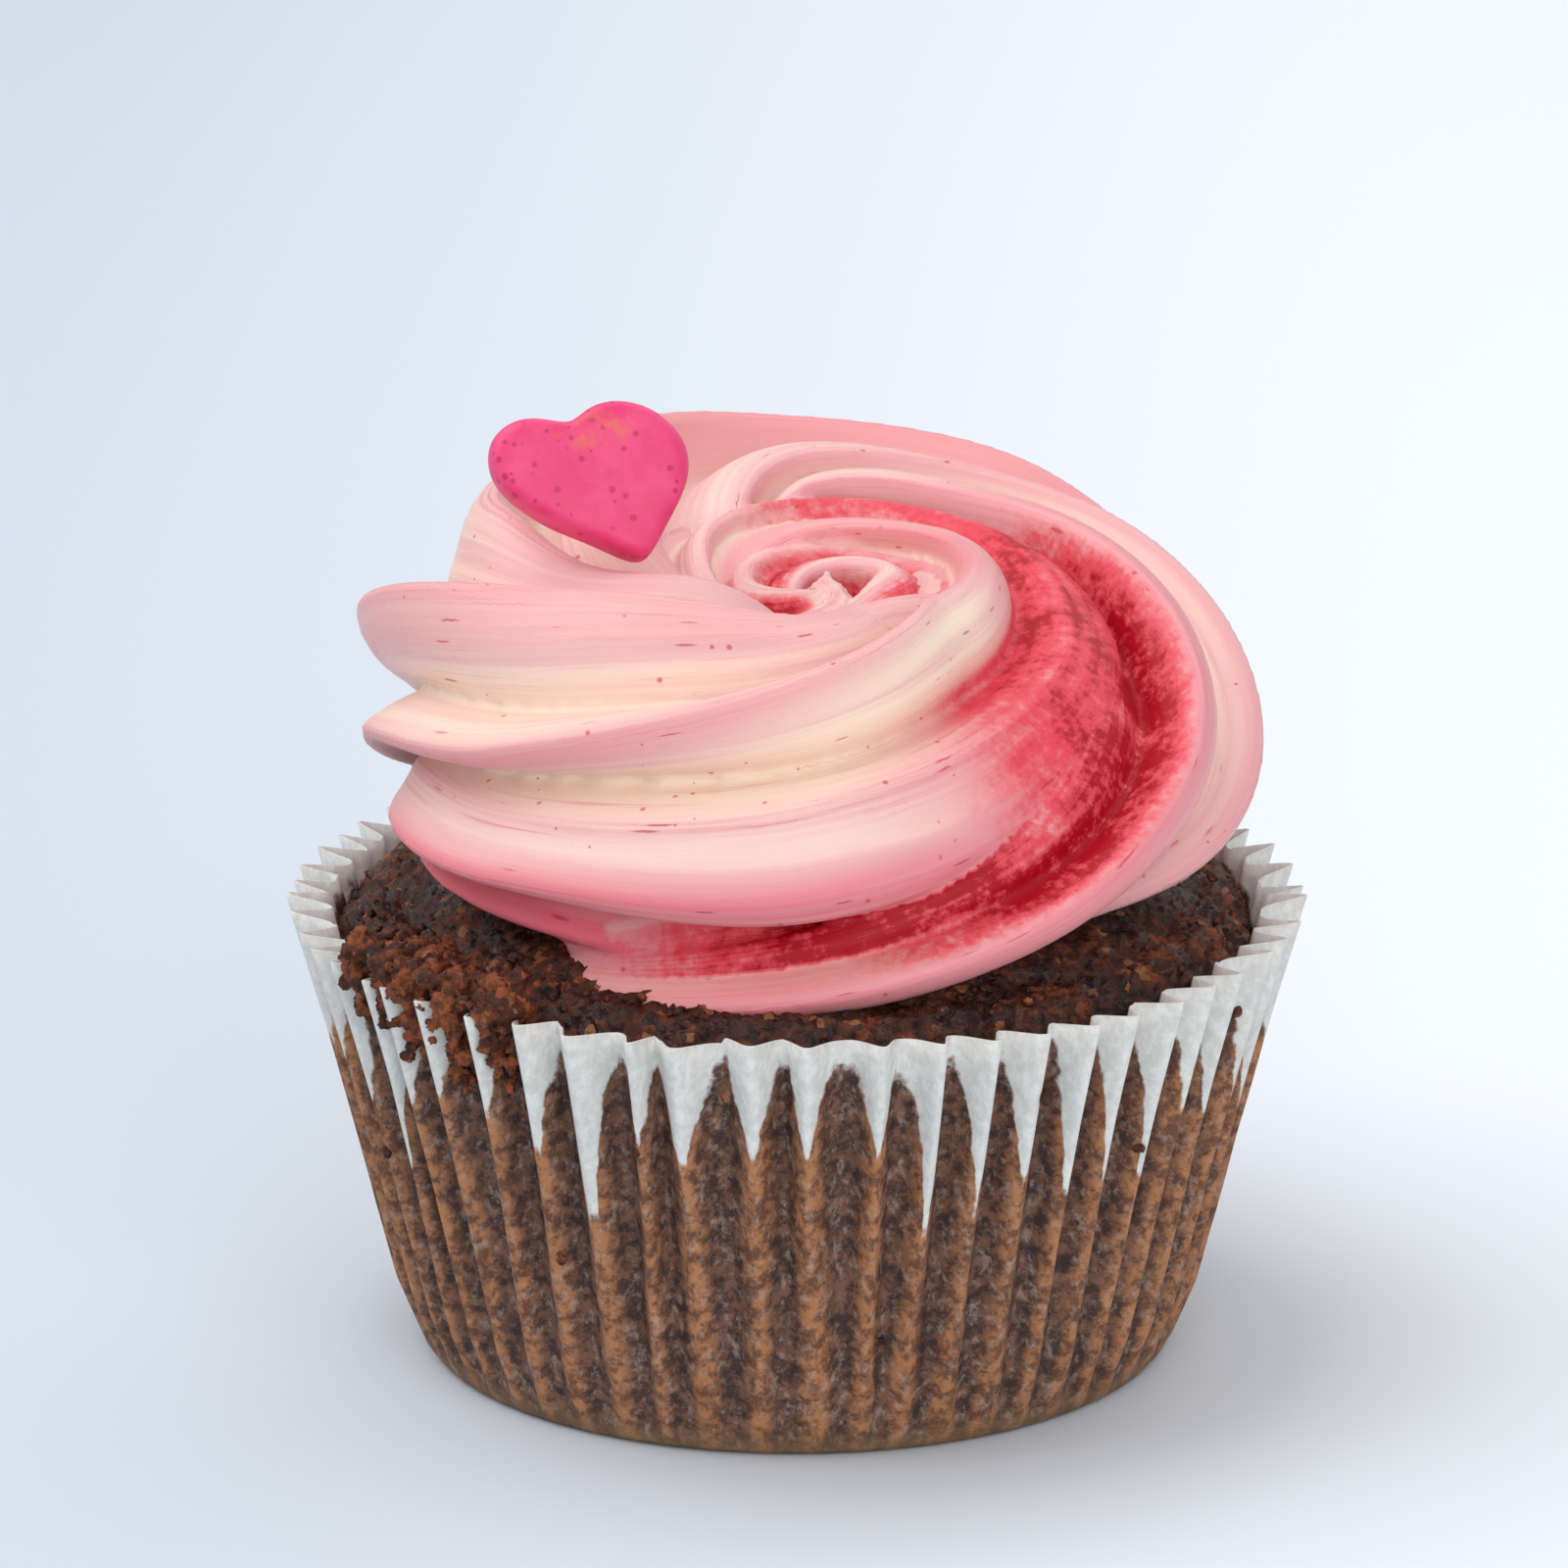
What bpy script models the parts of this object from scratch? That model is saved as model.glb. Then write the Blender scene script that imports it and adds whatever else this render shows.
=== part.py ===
"""A cupcake: a fluted paper case, a domed cake in it, a piped swirl of frosting and a sugar heart.

Metres, +Z up. The origin is the middle of the case's underside. The front faces -Y.
"""

from math import atan2, cos, exp, pi, radians, sin, sqrt

import bmesh
import bpy
from mathutils import Euler, Vector

MM = 0.001

# Paper case: outer radius of the folds at each height, and how deep the folds are there.
CASE_PROFILE = [
    # height, outer radius, fold depth
    (0.0, 24.2, 0.0),
    (1.5, 25.8, 0.3),
    (10.0, 28.4, 1.4),
    (30.8, 34.0, 3.0),
]
CASE_FOLDS = 56
POINTS_PER_FOLD = 4
PAPER = 0.4

# Cake: the domed top, as radius and height.
CAKE_TOP = [(0.0, 36.0), (8.0, 35.8), (15.0, 35.0), (21.0, 33.5), (25.5, 31.9), (28.4, 30.3)]
CAKE_SHOULDER = (29.5, 28.6)
CAKE_STEPS = 56
GAP = 0.35

# Frosting: a ribbed rope piped from outside to inside. Each station gives the turning angle
# in degrees, the path's radius and height, the rope's radius and the rope's own roll.
MAIN_ROPE = [
    (232, 23.2, 32.0, 1.5, -405),
    (240, 23.2, 32.5, 3.5, -400),
    (270, 22.4, 33.6, 6.2, -378),
    (300, 21.2, 35.4, 8.0, -358),
    (330, 20.2, 37.4, 9.6, -326),
    (360, 19.2, 39.5, 10.8, -296),
    (405, 20.0, 43.0, 11.6, -260),
    (450, 20.0, 45.5, 12.0, -237),
    (495, 19.0, 46.0, 12.0, -170),
    (540, 18.2, 46.0, 12.2, -95),
    (585, 16.8, 45.0, 12.0, -52),
    (630, 14.0, 43.2, 11.8, -16),
    (675, 9.6, 43.8, 9.6, 15),
    (720, 10.2, 46.8, 6.8, 28),
    (765, 11.6, 49.0, 4.8, 55),
    (810, 11.2, 49.7, 4.4, 75),
    (855, 9.8, 49.8, 4.2, 100),
    (900, 8.4, 49.0, 4.0, 130),
    (945, 7.0, 48.0, 3.4, 160),
]
MAIN_RIBS = 6
# How far each rib of the main rope leans from its even place: turning angle and degrees.
RIB_LEAN = [
    [(232, 0), (450, 0), (495, 25), (540, 50), (585, 35), (630, 21), (675, 2), (945, 0)],
    [(232, 0), (450, 0), (540, 11), (585, -3), (630, 2), (945, 0)],
    [(232, 0), (450, 0), (540, -3), (585, 2), (630, 7), (675, 0), (945, 0)],
    [(232, 0), (450, 0), (480, 25), (500, 38), (520, 20), (540, -5), (630, 0), (945, 0)],
    [(232, 0), (360, 0), (405, 42), (425, 50), (450, 49), (495, 25), (540, 0), (945, 0)],
    [(232, 0), (360, 0), (405, 20), (450, 37), (495, 58), (540, 80), (585, 58), (630, 19),
     (675, 0), (945, 0)],
]
# Where the rope swells or thins: rib, reach across in ribs, turning angle, reach along, how far out.
SWELLS = [
    (5.56, 0.30, 640, 60, 5.2),
    (5.62, 0.28, 710, 50, 3.0),
    (5.50, 0.35, 570, 40, 2.2),
    (0.00, 0.30, 548, 42, -3.0),
    (5.00, 0.35, 545, 40, -0.5),
    (5.00, 0.40, 612, 42, 1.7),
    (2.00, 0.42, 625, 45, -2.0),
    (2.62, 0.26, 525, 42, -1.6),
    (3.00, 0.40, 500, 35, -0.8),
    (5.00, 0.30, 445, 40, -2.0),
    (0.00, 0.30, 440, 40, -1.4),
    (4.00, 0.35, 422, 26, 1.8),
    (1.00, 0.55, 265, 55, -3.0),
    (5.00, 0.50, 312, 28, -4.2),
    (4.20, 0.50, 325, 30, -3.0),
]
LAST_TURN = [
    (600, 9.0, 47.0, 5.0, 60),
    (660, 7.4, 47.6, 4.8, 80),
    (720, 6.0, 48.2, 4.6, 40),
    (810, 5.0, 48.4, 4.3, 60),
    (900, 3.8, 48.2, 3.8, 90),
    (990, 2.4, 48.4, 3.4, 120),
    (1060, 1.0, 49.6, 2.4, 160),
    (1100, 0.3, 52.2, 0.7, 180),
]
LAST_RIBS = 5
RIB_DEPTH = 0.42
GROOVE_AT = 0.3
SWIRL_CENTRE = (1.0, 0.8)
# The heart's weight presses the rib under it: place, reach and depth.
PRESS = ((-12.5, -2.5), 6.5, 3.6)
# On the left the foot spreads over the cake: the side it faces, how far, and below what height.
FOOT = (-162, 3.6, 42.0)
CORE = (20.5, 11.0, 30.0, 46.0)
FROSTING_VOXEL = 0.75
FROSTING_KEEP = 0.08

# Sugar heart: stands on the high rib at the left and leans back.
HEART_SIZE = (12.7, 11.6, 3.4)
HEART_SOFT = 0.44
HEART_SHEAR = 0.26
HEART_PLACE = (-12.9, -2.6, 59.3)
HEART_LEAN = 62.0
HEART_TURN = 12.0
HEART_ROLL = 9.0
HEART_EDGE = 0.9
HEART_POINTS = 36


def colored(name, color, roughness):
    material = bpy.data.materials.new(name)
    material.use_nodes = True
    shader = material.node_tree.nodes["Principled BSDF"]
    shader.inputs["Base Color"].default_value = (*color, 1.0)
    shader.inputs["Roughness"].default_value = roughness
    return material


def add_object(name, bm, collection, material=None):
    bmesh.ops.recalc_face_normals(bm, faces=bm.faces)
    mesh = bpy.data.meshes.new(name)
    bm.to_mesh(mesh)
    bm.free()
    obj = bpy.data.objects.new(name, mesh)
    collection.objects.link(obj)
    if material:
        mesh.materials.append(material)
    return obj


def evaluated_copy(name, obj, collection, material=None):
    graph = bpy.context.evaluated_depsgraph_get()
    mesh = bpy.data.meshes.new_from_object(obj.evaluated_get(graph))
    mesh.materials.clear()
    copy = bpy.data.objects.new(name, mesh)
    copy.matrix_world = obj.matrix_world
    collection.objects.link(copy)
    if material:
        mesh.materials.append(material)
    return copy


def smooth_between(stations, at):
    """Cubic interpolation of the stations' columns that never overshoots a station."""
    spans = [b[0] - a[0] for a, b in zip(stations, stations[1:])]
    i = 0
    while i < len(spans) - 1 and at > stations[i + 1][0]:
        i += 1
    t = (at - stations[i][0]) / spans[i]
    values = []
    for column in range(1, len(stations[0])):
        rises = [
            (b[column] - a[column]) / span for a, b, span in zip(stations, stations[1:], spans)
        ]

        def slope(k):
            if k == 0 or k == len(rises):
                return rises[min(k, len(rises) - 1)]
            before, after = rises[k - 1], rises[k]
            if before * after <= 0:
                return 0.0
            w1 = 2 * spans[k] + spans[k - 1]
            w2 = spans[k] + 2 * spans[k - 1]
            return (w1 + w2) / (w1 / before + w2 / after)

        low, high = stations[i][column], stations[i + 1][column]
        values.append(
            (2 * t**3 - 3 * t**2 + 1) * low
            + (t**3 - 2 * t**2 + t) * spans[i] * slope(i)
            + (3 * t**2 - 2 * t**3) * high
            + (t**3 - t**2) * spans[i] * slope(i + 1)
        )
    return values


def rib_shape(q):
    """Rope radius as a share, along one rib: a lip at q = 0, a groove above it, a full face below."""
    if q < GROOVE_AT:
        share = 0.5 + 0.5 * cos(pi * q / GROOVE_AT)
    else:
        share = (1 - ((1 - q) / (1 - GROOVE_AT)) ** 1.5) ** 0.9
    return 1 - RIB_DEPTH * (1 - share)


def settled(x, y, z):
    """The rope's own place, once the heart presses it and its foot sags out over the cake."""
    (px, py), reach, depth = PRESS
    near = exp(-((x - px) ** 2 + (y - py) ** 2) / reach**2)
    z -= depth * near * min(1.0, max(0.0, (z - 44) / 6))
    toward, spread, below = FOOT
    low = min(1.0, max(0.0, (below - z) / 8))
    facing = max(0.0, cos((atan2(y, x) - radians(toward)) * 1.1)) ** 2
    out = 1 + spread * low * facing / max(8.0, sqrt(x * x + y * y))
    return Vector((x * out, y * out, z))


def rope(bm, stations, ribs, rings, around, leans=(), swells=()):
    """Adds a ribbed rope, lofted ring by ring along its spiral."""
    start, end = stations[0][0], stations[-1][0]
    before = None
    for i in range(rings):
        turn = start + (end - start) * i / (rings - 1)
        path, height, radius, roll = smooth_between(stations, turn)
        lips = [roll + 360 / ribs * k for k in range(ribs)]
        for k, lean in enumerate(leans):
            lips[k] += smooth_between(lean, turn)[0]
        lips.append(lips[0] + 360)
        ring = []
        for j in range(around):
            rib = ribs * j / around
            k = int(rib)
            q = rib - k
            angle = radians(lips[k] * (1 - q) + lips[k + 1] * q)
            reach = radius * rib_shape(q)
            for at, across, when, along, out in swells:
                gap = abs((rib - at + ribs / 2) % ribs - ribs / 2)
                reach += out * exp(-((gap / across) ** 2) - ((turn - when) / along) ** 2)
            r = path + reach * cos(angle)
            x = SWIRL_CENTRE[0] + r * cos(radians(turn))
            y = SWIRL_CENTRE[1] + r * sin(radians(turn))
            ring.append(bm.verts.new(settled(x, y, height + reach * sin(angle)) * MM))
        if before:
            for j in range(around):
                k = (j + 1) % around
                bm.faces.new((before[j], ring[j], ring[k], before[k]))
        else:
            bm.faces.new(reversed(ring))
        before = ring
    bm.faces.new(before)


def turned(name, profile, steps, collection, material=None):
    """A solid turned round Z from a profile of (radius, height) that runs top to bottom."""
    mesh = bpy.data.meshes.new(name)
    points = [(r * MM, 0, z * MM) for r, z in profile]
    mesh.from_pydata(points, [(i, i + 1) for i in range(len(points) - 1)], [])
    obj = bpy.data.objects.new(name, mesh)
    collection.objects.link(obj)
    screw = obj.modifiers.new("Turn", "SCREW")
    screw.steps = screw.render_steps = steps
    screw.use_merge_vertices = True
    screw.merge_threshold = 0.00001
    screw.use_smooth_shade = True
    if material:
        mesh.materials.append(material)
    return obj


def fold_wave(j):
    """0 on a fold's crest and 1 in its valley, at the j-th point round the case."""
    return abs((j % POINTS_PER_FOLD) / (POINTS_PER_FOLD / 2) - 1)


def paper_case(collection, material):
    bm = bmesh.new()
    count = CASE_FOLDS * POINTS_PER_FOLD
    rings = []
    for height, radius, depth in CASE_PROFILE:
        ring = []
        for j in range(count):
            angle = 2 * pi * (j - POINTS_PER_FOLD / 2) / count
            r = radius - depth * fold_wave(j)
            ring.append(bm.verts.new(Vector((r * cos(angle), r * sin(angle), height)) * MM))
        rings.append(ring)
    centre = bm.verts.new((0, 0, 0))
    for j in range(count):
        k = (j + 1) % count
        bm.faces.new((centre, rings[0][k], rings[0][j]))
        for low, high in zip(rings, rings[1:]):
            bm.faces.new((low[j], low[k], high[k], high[j]))
    obj = add_object("paper_case", bm, collection, material)
    wall = obj.modifiers.new("Paper", "SOLIDIFY")
    wall.thickness = PAPER * MM
    wall.offset = -1
    return obj


def cake(collection, material):
    side = [
        (radius - depth - PAPER - GAP, height)
        for height, radius, depth in reversed(CASE_PROFILE)
        if 4 < height < CAKE_SHOULDER[1]
    ]
    foot = [(24.0, 1.6), (22.8, PAPER + GAP), (0.0, PAPER + GAP)]
    profile = [*CAKE_TOP, CAKE_SHOULDER, *side, *foot]
    return turned("cake", profile, CAKE_STEPS, collection, material)


def heart_outline(grow):
    """A plump heart in the XY plane: a heart curve softened toward a circle, its tip off to one side."""
    width, height = HEART_SIZE[0], HEART_SIZE[1]
    soft = HEART_SOFT
    points = []
    for i in range(HEART_POINTS):
        t = 2 * pi * (i + 0.5) / HEART_POINTS
        x = (1 - soft) * 16 * sin(t) ** 3 + soft * 15 * sin(t)
        y = (1 - soft) * (13 * cos(t) - 5 * cos(2 * t) - 2 * cos(3 * t) - cos(4 * t))
        y = (y + soft * 14 * cos(t) + 1.5) * height / 29.0
        x = -x * width / 31.4 - HEART_SHEAR * y
        length = sqrt(x * x + y * y)
        points.append((x * (1 + grow / length), y * (1 + grow / length)))
    return points


def heart(name, grow, collection, material=None):
    curve = bpy.data.curves.new(name, "CURVE")
    curve.dimensions = "2D"
    curve.fill_mode = "BOTH"
    spline = curve.splines.new("POLY")
    outline = heart_outline(grow)
    spline.points.add(len(outline) - 1)
    for point, (x, y) in zip(spline.points, outline):
        point.co = (x * MM, y * MM, 0, 1)
    spline.use_cyclic_u = True
    curve.extrude = (HEART_SIZE[2] / 2 + grow) * MM
    guide = bpy.data.objects.new(name + "_curve", curve)
    collection.objects.link(guide)
    lean = Euler((radians(HEART_LEAN), 0, radians(HEART_TURN))).to_matrix().to_4x4()
    roll = Euler((0, 0, radians(HEART_ROLL))).to_matrix().to_4x4()
    guide.matrix_world = lean @ roll
    guide.location = Vector(HEART_PLACE) * MM
    bpy.context.view_layer.update()
    obj = evaluated_copy(name, guide, collection, material)
    bpy.data.objects.remove(guide)
    bm = bmesh.new()
    bm.from_mesh(obj.data)
    bmesh.ops.remove_doubles(bm, verts=bm.verts, dist=0.00001)
    bmesh.ops.recalc_face_normals(bm, faces=bm.faces)
    bm.to_mesh(obj.data)
    bm.free()
    soft_edge = obj.modifiers.new("Soft edge", "BEVEL")
    soft_edge.width = HEART_EDGE * MM
    soft_edge.segments = 2
    soft_edge.limit_method = "ANGLE"
    soft_edge.angle_limit = radians(80)
    return obj


def cut(obj, cutter, name):
    boolean = obj.modifiers.new(name, "BOOLEAN")
    boolean.operation = "DIFFERENCE"
    boolean.object = cutter


def as_cutter(obj):
    obj.hide_render = True
    obj.display_type = "WIRE"
    return obj


def frosting(collection, cutters, material):
    bm = bmesh.new()
    rope(bm, MAIN_ROPE, MAIN_RIBS, 180, 96, RIB_LEAN, SWELLS)
    rope(bm, LAST_TURN, LAST_RIBS, 120, 60)
    bottom, top, low, high = CORE
    core = bmesh.ops.create_cone(
        bm, cap_ends=True, segments=48, radius1=bottom * MM, radius2=top * MM,
        depth=(high - low) * MM,
    )
    middle = Vector((*SWIRL_CENTRE, (low + high) / 2)) * MM
    bmesh.ops.translate(bm, verts=core["verts"], vec=middle)
    obj = add_object("frosting", bm, collection, material)

    fuse = obj.modifiers.new("Fuse", "REMESH")
    fuse.mode = "VOXEL"
    fuse.voxel_size = FROSTING_VOXEL * MM
    soften = obj.modifiers.new("Soften", "SMOOTH")
    soften.factor = 0.5
    soften.iterations = 2
    lighten = obj.modifiers.new("Lighten", "DECIMATE")
    lighten.ratio = FROSTING_KEEP

    above = [(r, z + GAP) for r, z in CAKE_TOP]
    dome = [*above, (31.5, 29.0), (34.0, 27.0), (34.0, 12.0), (0.0, 12.0)]
    seat = as_cutter(turned("cake_top_cutter", dome, CAKE_STEPS, cutters))
    cut(obj, seat, "Seat on cake")
    slot = as_cutter(heart("heart_cutter", GAP, cutters))
    cut(obj, slot, "Heart's place")
    return obj


def main():
    for old in list(bpy.data.objects):
        bpy.data.objects.remove(old)
    parts = bpy.data.collections.new("cupcake")
    cutters = bpy.data.collections.new("cutters")
    for collection in (parts, cutters):
        bpy.context.scene.collection.children.link(collection)

    paper_case(parts, colored("paper", (0.72, 0.7, 0.68), 0.8))
    cake(parts, colored("chocolate_cake", (0.06, 0.018, 0.01), 0.5))
    heart("sugar_heart", 0.0, parts, colored("pink_sugar", (0.8, 0.09, 0.28), 0.5))
    frosting(parts, cutters, colored("buttercream", (0.85, 0.45, 0.42), 0.45))


main()
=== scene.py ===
import math
import random

import bpy
import numpy as np
from mathutils import Euler, Matrix, Vector, noise
from mathutils.bvhtree import BVHTree


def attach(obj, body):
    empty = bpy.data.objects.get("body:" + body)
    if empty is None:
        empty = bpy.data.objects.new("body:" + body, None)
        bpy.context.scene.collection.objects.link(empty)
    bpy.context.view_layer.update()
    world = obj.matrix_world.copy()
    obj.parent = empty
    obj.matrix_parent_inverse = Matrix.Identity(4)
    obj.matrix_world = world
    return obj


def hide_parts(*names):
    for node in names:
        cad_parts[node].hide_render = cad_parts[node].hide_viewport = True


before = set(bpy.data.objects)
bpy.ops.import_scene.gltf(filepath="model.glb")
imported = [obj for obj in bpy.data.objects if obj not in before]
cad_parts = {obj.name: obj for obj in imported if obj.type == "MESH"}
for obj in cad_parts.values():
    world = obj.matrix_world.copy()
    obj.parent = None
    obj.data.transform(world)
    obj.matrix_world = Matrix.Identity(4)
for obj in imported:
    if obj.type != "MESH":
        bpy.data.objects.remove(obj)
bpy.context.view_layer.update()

mm = 0.001


def deselectAll():
    if bpy.context.mode != "OBJECT":
        bpy.ops.object.mode_set(mode="OBJECT")
    bpy.ops.object.select_all(action="DESELECT")


def pick(piece):
    deselectAll()
    piece.select_set(True)
    bpy.context.view_layer.objects.active = piece


def added(name):
    piece = bpy.context.active_object
    piece.name = name
    piece.data.name = name
    return piece


def applyAll(piece):
    pick(piece)
    for modifier in list(piece.modifiers):
        bpy.ops.object.modifier_apply(modifier=modifier.name)


def settle(piece):
    pick(piece)
    bpy.ops.object.transform_apply(location=True, rotation=True, scale=True)


def faceOutwards(piece):
    pick(piece)
    bpy.ops.object.mode_set(mode="EDIT")
    bpy.ops.mesh.select_all(action="SELECT")
    bpy.ops.mesh.normals_make_consistent(inside=False)
    bpy.ops.object.mode_set(mode="OBJECT")


def voxelRemesh(piece, voxel):
    remesh = piece.modifiers.new("fuse", "REMESH")
    remesh.mode = "VOXEL"
    remesh.voxel_size = voxel * mm


def points(piece):
    co = np.empty(len(piece.data.vertices) * 3)
    piece.data.vertices.foreach_get("co", co)
    return co.reshape(-1, 3)


def normalsOf(piece):
    normals = np.empty(len(piece.data.vertices) * 3)
    piece.data.vertices.foreach_get("normal", normals)
    return normals.reshape(-1, 3)


def setPoints(piece, co):
    piece.data.vertices.foreach_set("co", np.ascontiguousarray(co, dtype=np.float64).ravel())
    piece.data.update()


def setMask(piece, name, values):
    layer = piece.data.attributes.get(name) or piece.data.attributes.new(name, "FLOAT", "POINT")
    layer.data.foreach_set("value", np.ascontiguousarray(values, dtype=np.float32))


def setFlow(piece, name, values):
    layer = piece.data.attributes.new(name, "FLOAT_VECTOR", "POINT")
    layer.data.foreach_set("vector", np.ascontiguousarray(values, dtype=np.float32).ravel())


def smoothStep(low, high, x):
    t = np.clip((x - low) / (high - low), 0, 1)
    return t * t * (3 - 2 * t)


def ripples(angle, seed, lows, highs, fall=1.0):
    # a smooth random wave round a circle, from sines of rising count
    rng = np.random.default_rng(seed)
    total = np.zeros_like(angle)
    for m in range(lows, highs + 1):
        total = total + rng.normal() / m**fall * np.sin(m * angle + rng.uniform(0, 2 * math.pi))
    scale = math.sqrt(sum(1 / m ** (2 * fall) for m in range(lows, highs + 1)) / 2)
    return total / (2 * scale)


def fromStations(stations, at):
    # cubic through the stations that never overshoots one
    table = np.array(stations, dtype=float)
    x, y = table[:, 0], table[:, 1:]
    span = np.diff(x)
    rise = np.diff(y, axis=0) / span[:, None]
    slope = np.zeros_like(y)
    slope[0], slope[-1] = rise[0], rise[-1]
    for i in range(1, len(x) - 1):
        w1 = 2 * span[i] + span[i - 1]
        w2 = span[i] + 2 * span[i - 1]
        same = rise[i - 1] * rise[i] > 0
        safe = np.where(same, rise[i - 1], 1.0), np.where(same, rise[i], 1.0)
        slope[i] = np.where(same, (w1 + w2) / (w1 / safe[0] + w2 / safe[1]), 0.0)
    k = np.clip(np.searchsorted(x, at, side="right") - 1, 0, len(x) - 2)
    t = ((at - x[k]) / span[k])[:, None]
    h = span[k][:, None]
    return (
        (2 * t**3 - 3 * t**2 + 1) * y[k] + (t**3 - 2 * t**2 + t) * h * slope[k]
        + (3 * t**2 - 2 * t**3) * y[k + 1] + (t**3 - t**2) * h * slope[k + 1]
    )


def srgb(r, g, b):
    # 0-255 screen colour to the linear colour that sockets take
    out = []
    for v in (r, g, b):
        v = v / 255
        out.append(v / 12.92 if v <= 0.04045 else ((v + 0.055) / 1.055) ** 2.4)
    return (*out, 1.0)


def feed(tree, socket, value):
    # a socket takes a link or a fixed value
    if isinstance(value, bpy.types.NodeSocket):
        tree.links.new(value, socket)
    else:
        socket.default_value = value


def put(tree, kind, **inputs):
    node = tree.nodes.new(kind)
    for key, value in inputs.items():
        feed(tree, node.inputs[key.replace("_", " ")], value)
    return node


def mixColor(tree, share, low, high):
    node = tree.nodes.new("ShaderNodeMix")
    node.data_type = "RGBA"
    node.clamp_factor = True
    for number, value in ((0, share), (6, low), (7, high)):
        feed(tree, node.inputs[number], value)
    return node.outputs[2]


def calc(tree, operation, *values, clamp=False):
    node = tree.nodes.new("ShaderNodeMath")
    node.operation = operation
    node.use_clamp = clamp
    for socket, value in zip(node.inputs, values):
        feed(tree, socket, value)
    return node.outputs[0]


def band(tree, value, low, high, toLow=0.0, toHigh=1.0):
    node = tree.nodes.new("ShaderNodeMapRange")
    node.interpolation_type = "SMOOTHSTEP"
    for name, given in (("Value", value), ("From Min", low), ("From Max", high),
                        ("To Min", toLow), ("To Max", toHigh)):
        feed(tree, node.inputs[name], given)
    return node.outputs[0]


def attribute(tree, name, output="Fac"):
    node = tree.nodes.new("ShaderNodeAttribute")
    node.attribute_name = name
    return node.outputs[output]


def stretched(tree, vector, scale):
    return put(tree, "ShaderNodeMapping", Vector=vector, Scale=scale).outputs[0]


def noiseOf(tree, vector, scale, detail=4.0, rough=0.55):
    node = put(tree, "ShaderNodeTexNoise", Vector=vector, Scale=scale, Detail=detail, Roughness=rough)
    return node.outputs["Fac"]


def newMaterial(name):
    material = bpy.data.materials.new(name)
    material.use_nodes = True
    tree = material.node_tree
    shader = tree.nodes["Principled BSDF"]
    return material, tree, shader


def newGroup(name, inputs, outputs):
    group = bpy.data.node_groups.new(name, "ShaderNodeTree")
    for label, kind, value in inputs:
        socket = group.interface.new_socket(label, in_out="INPUT", socket_type=kind)
        if value is not None:
            socket.default_value = value
    for label, kind in outputs:
        group.interface.new_socket(label, in_out="OUTPUT", socket_type=kind)
    start = group.nodes.new("NodeGroupInput")
    end = group.nodes.new("NodeGroupOutput")
    return group, start, end


def useGroup(tree, group, **inputs):
    node = tree.nodes.new("ShaderNodeGroup")
    node.node_tree = group
    for key, value in inputs.items():
        feed(tree, node.inputs[key], value)
    return node


def buildSpecks():
    # scattered dots: only a share of the cells holds one, each of its own size
    group, start, end = newGroup(
        "scatteredSpecks",
        [("Vector", "NodeSocketVector", None), ("Scale", "NodeSocketFloat", 900.0),
         ("Share", "NodeSocketFloat", 0.25), ("Size", "NodeSocketFloat", 0.22)],
        [("Mask", "NodeSocketFloat"), ("Tint", "NodeSocketFloat")],
    )
    cells = put(group, "ShaderNodeTexVoronoi", Vector=start.outputs[0], Scale=start.outputs[1])
    split = put(group, "ShaderNodeSeparateColor", Color=cells.outputs["Color"])
    held = calc(group, "LESS_THAN", split.outputs[0], start.outputs[2])
    size = calc(group, "MULTIPLY", calc(group, "MULTIPLY_ADD", split.outputs[1], 0.8, 0.35), start.outputs[3])
    inner = calc(group, "MULTIPLY", size, 0.5)
    near = band(group, cells.outputs["Distance"], inner, size, 1.0, 0.0)
    group.links.new(calc(group, "MULTIPLY", near, held), end.inputs[0])
    group.links.new(split.outputs[2], end.inputs[1])
    return group


def buildCrumbGrain():
    # light and dark crumb, from grains of two sizes
    group, start, end = newGroup(
        "crumbGrain",
        [("Vector", "NodeSocketVector", None), ("Fine", "NodeSocketFloat", 1600.0)],
        [("Tone", "NodeSocketFloat"), ("Grain", "NodeSocketFloat"), ("Height", "NodeSocketFloat")],
    )
    small = put(group, "ShaderNodeTexVoronoi", Vector=start.outputs[0], Scale=start.outputs[1])
    haze = noiseOf(group, start.outputs[0], 330.0, 6.0, 0.7)
    grit = noiseOf(group, start.outputs[0], 1500.0, 4.0, 0.7)
    split = put(group, "ShaderNodeSeparateColor", Color=small.outputs["Color"])
    soft = calc(group, "MULTIPLY_ADD", grit, 0.35, calc(group, "MULTIPLY", haze, 0.6))
    tone = calc(group, "MULTIPLY_ADD", split.outputs[0], 0.25, soft)
    group.links.new(tone, end.inputs[0])
    group.links.new(split.outputs[1], end.inputs[1])
    grains = calc(group, "MULTIPLY_ADD", small.outputs["Distance"], -0.4, grit)
    group.links.new(calc(group, "ADD", grains, haze), end.inputs[2])
    return group


specksGroup = buildSpecks()
grainGroup = buildCrumbGrain()


def finishPiece(piece, material, nodes=()):
    piece.data.materials.clear()
    piece.data.materials.append(material)
    pick(piece)
    bpy.ops.object.shade_smooth()
    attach(piece, "root")
    if nodes:
        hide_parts(*nodes)


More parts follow.
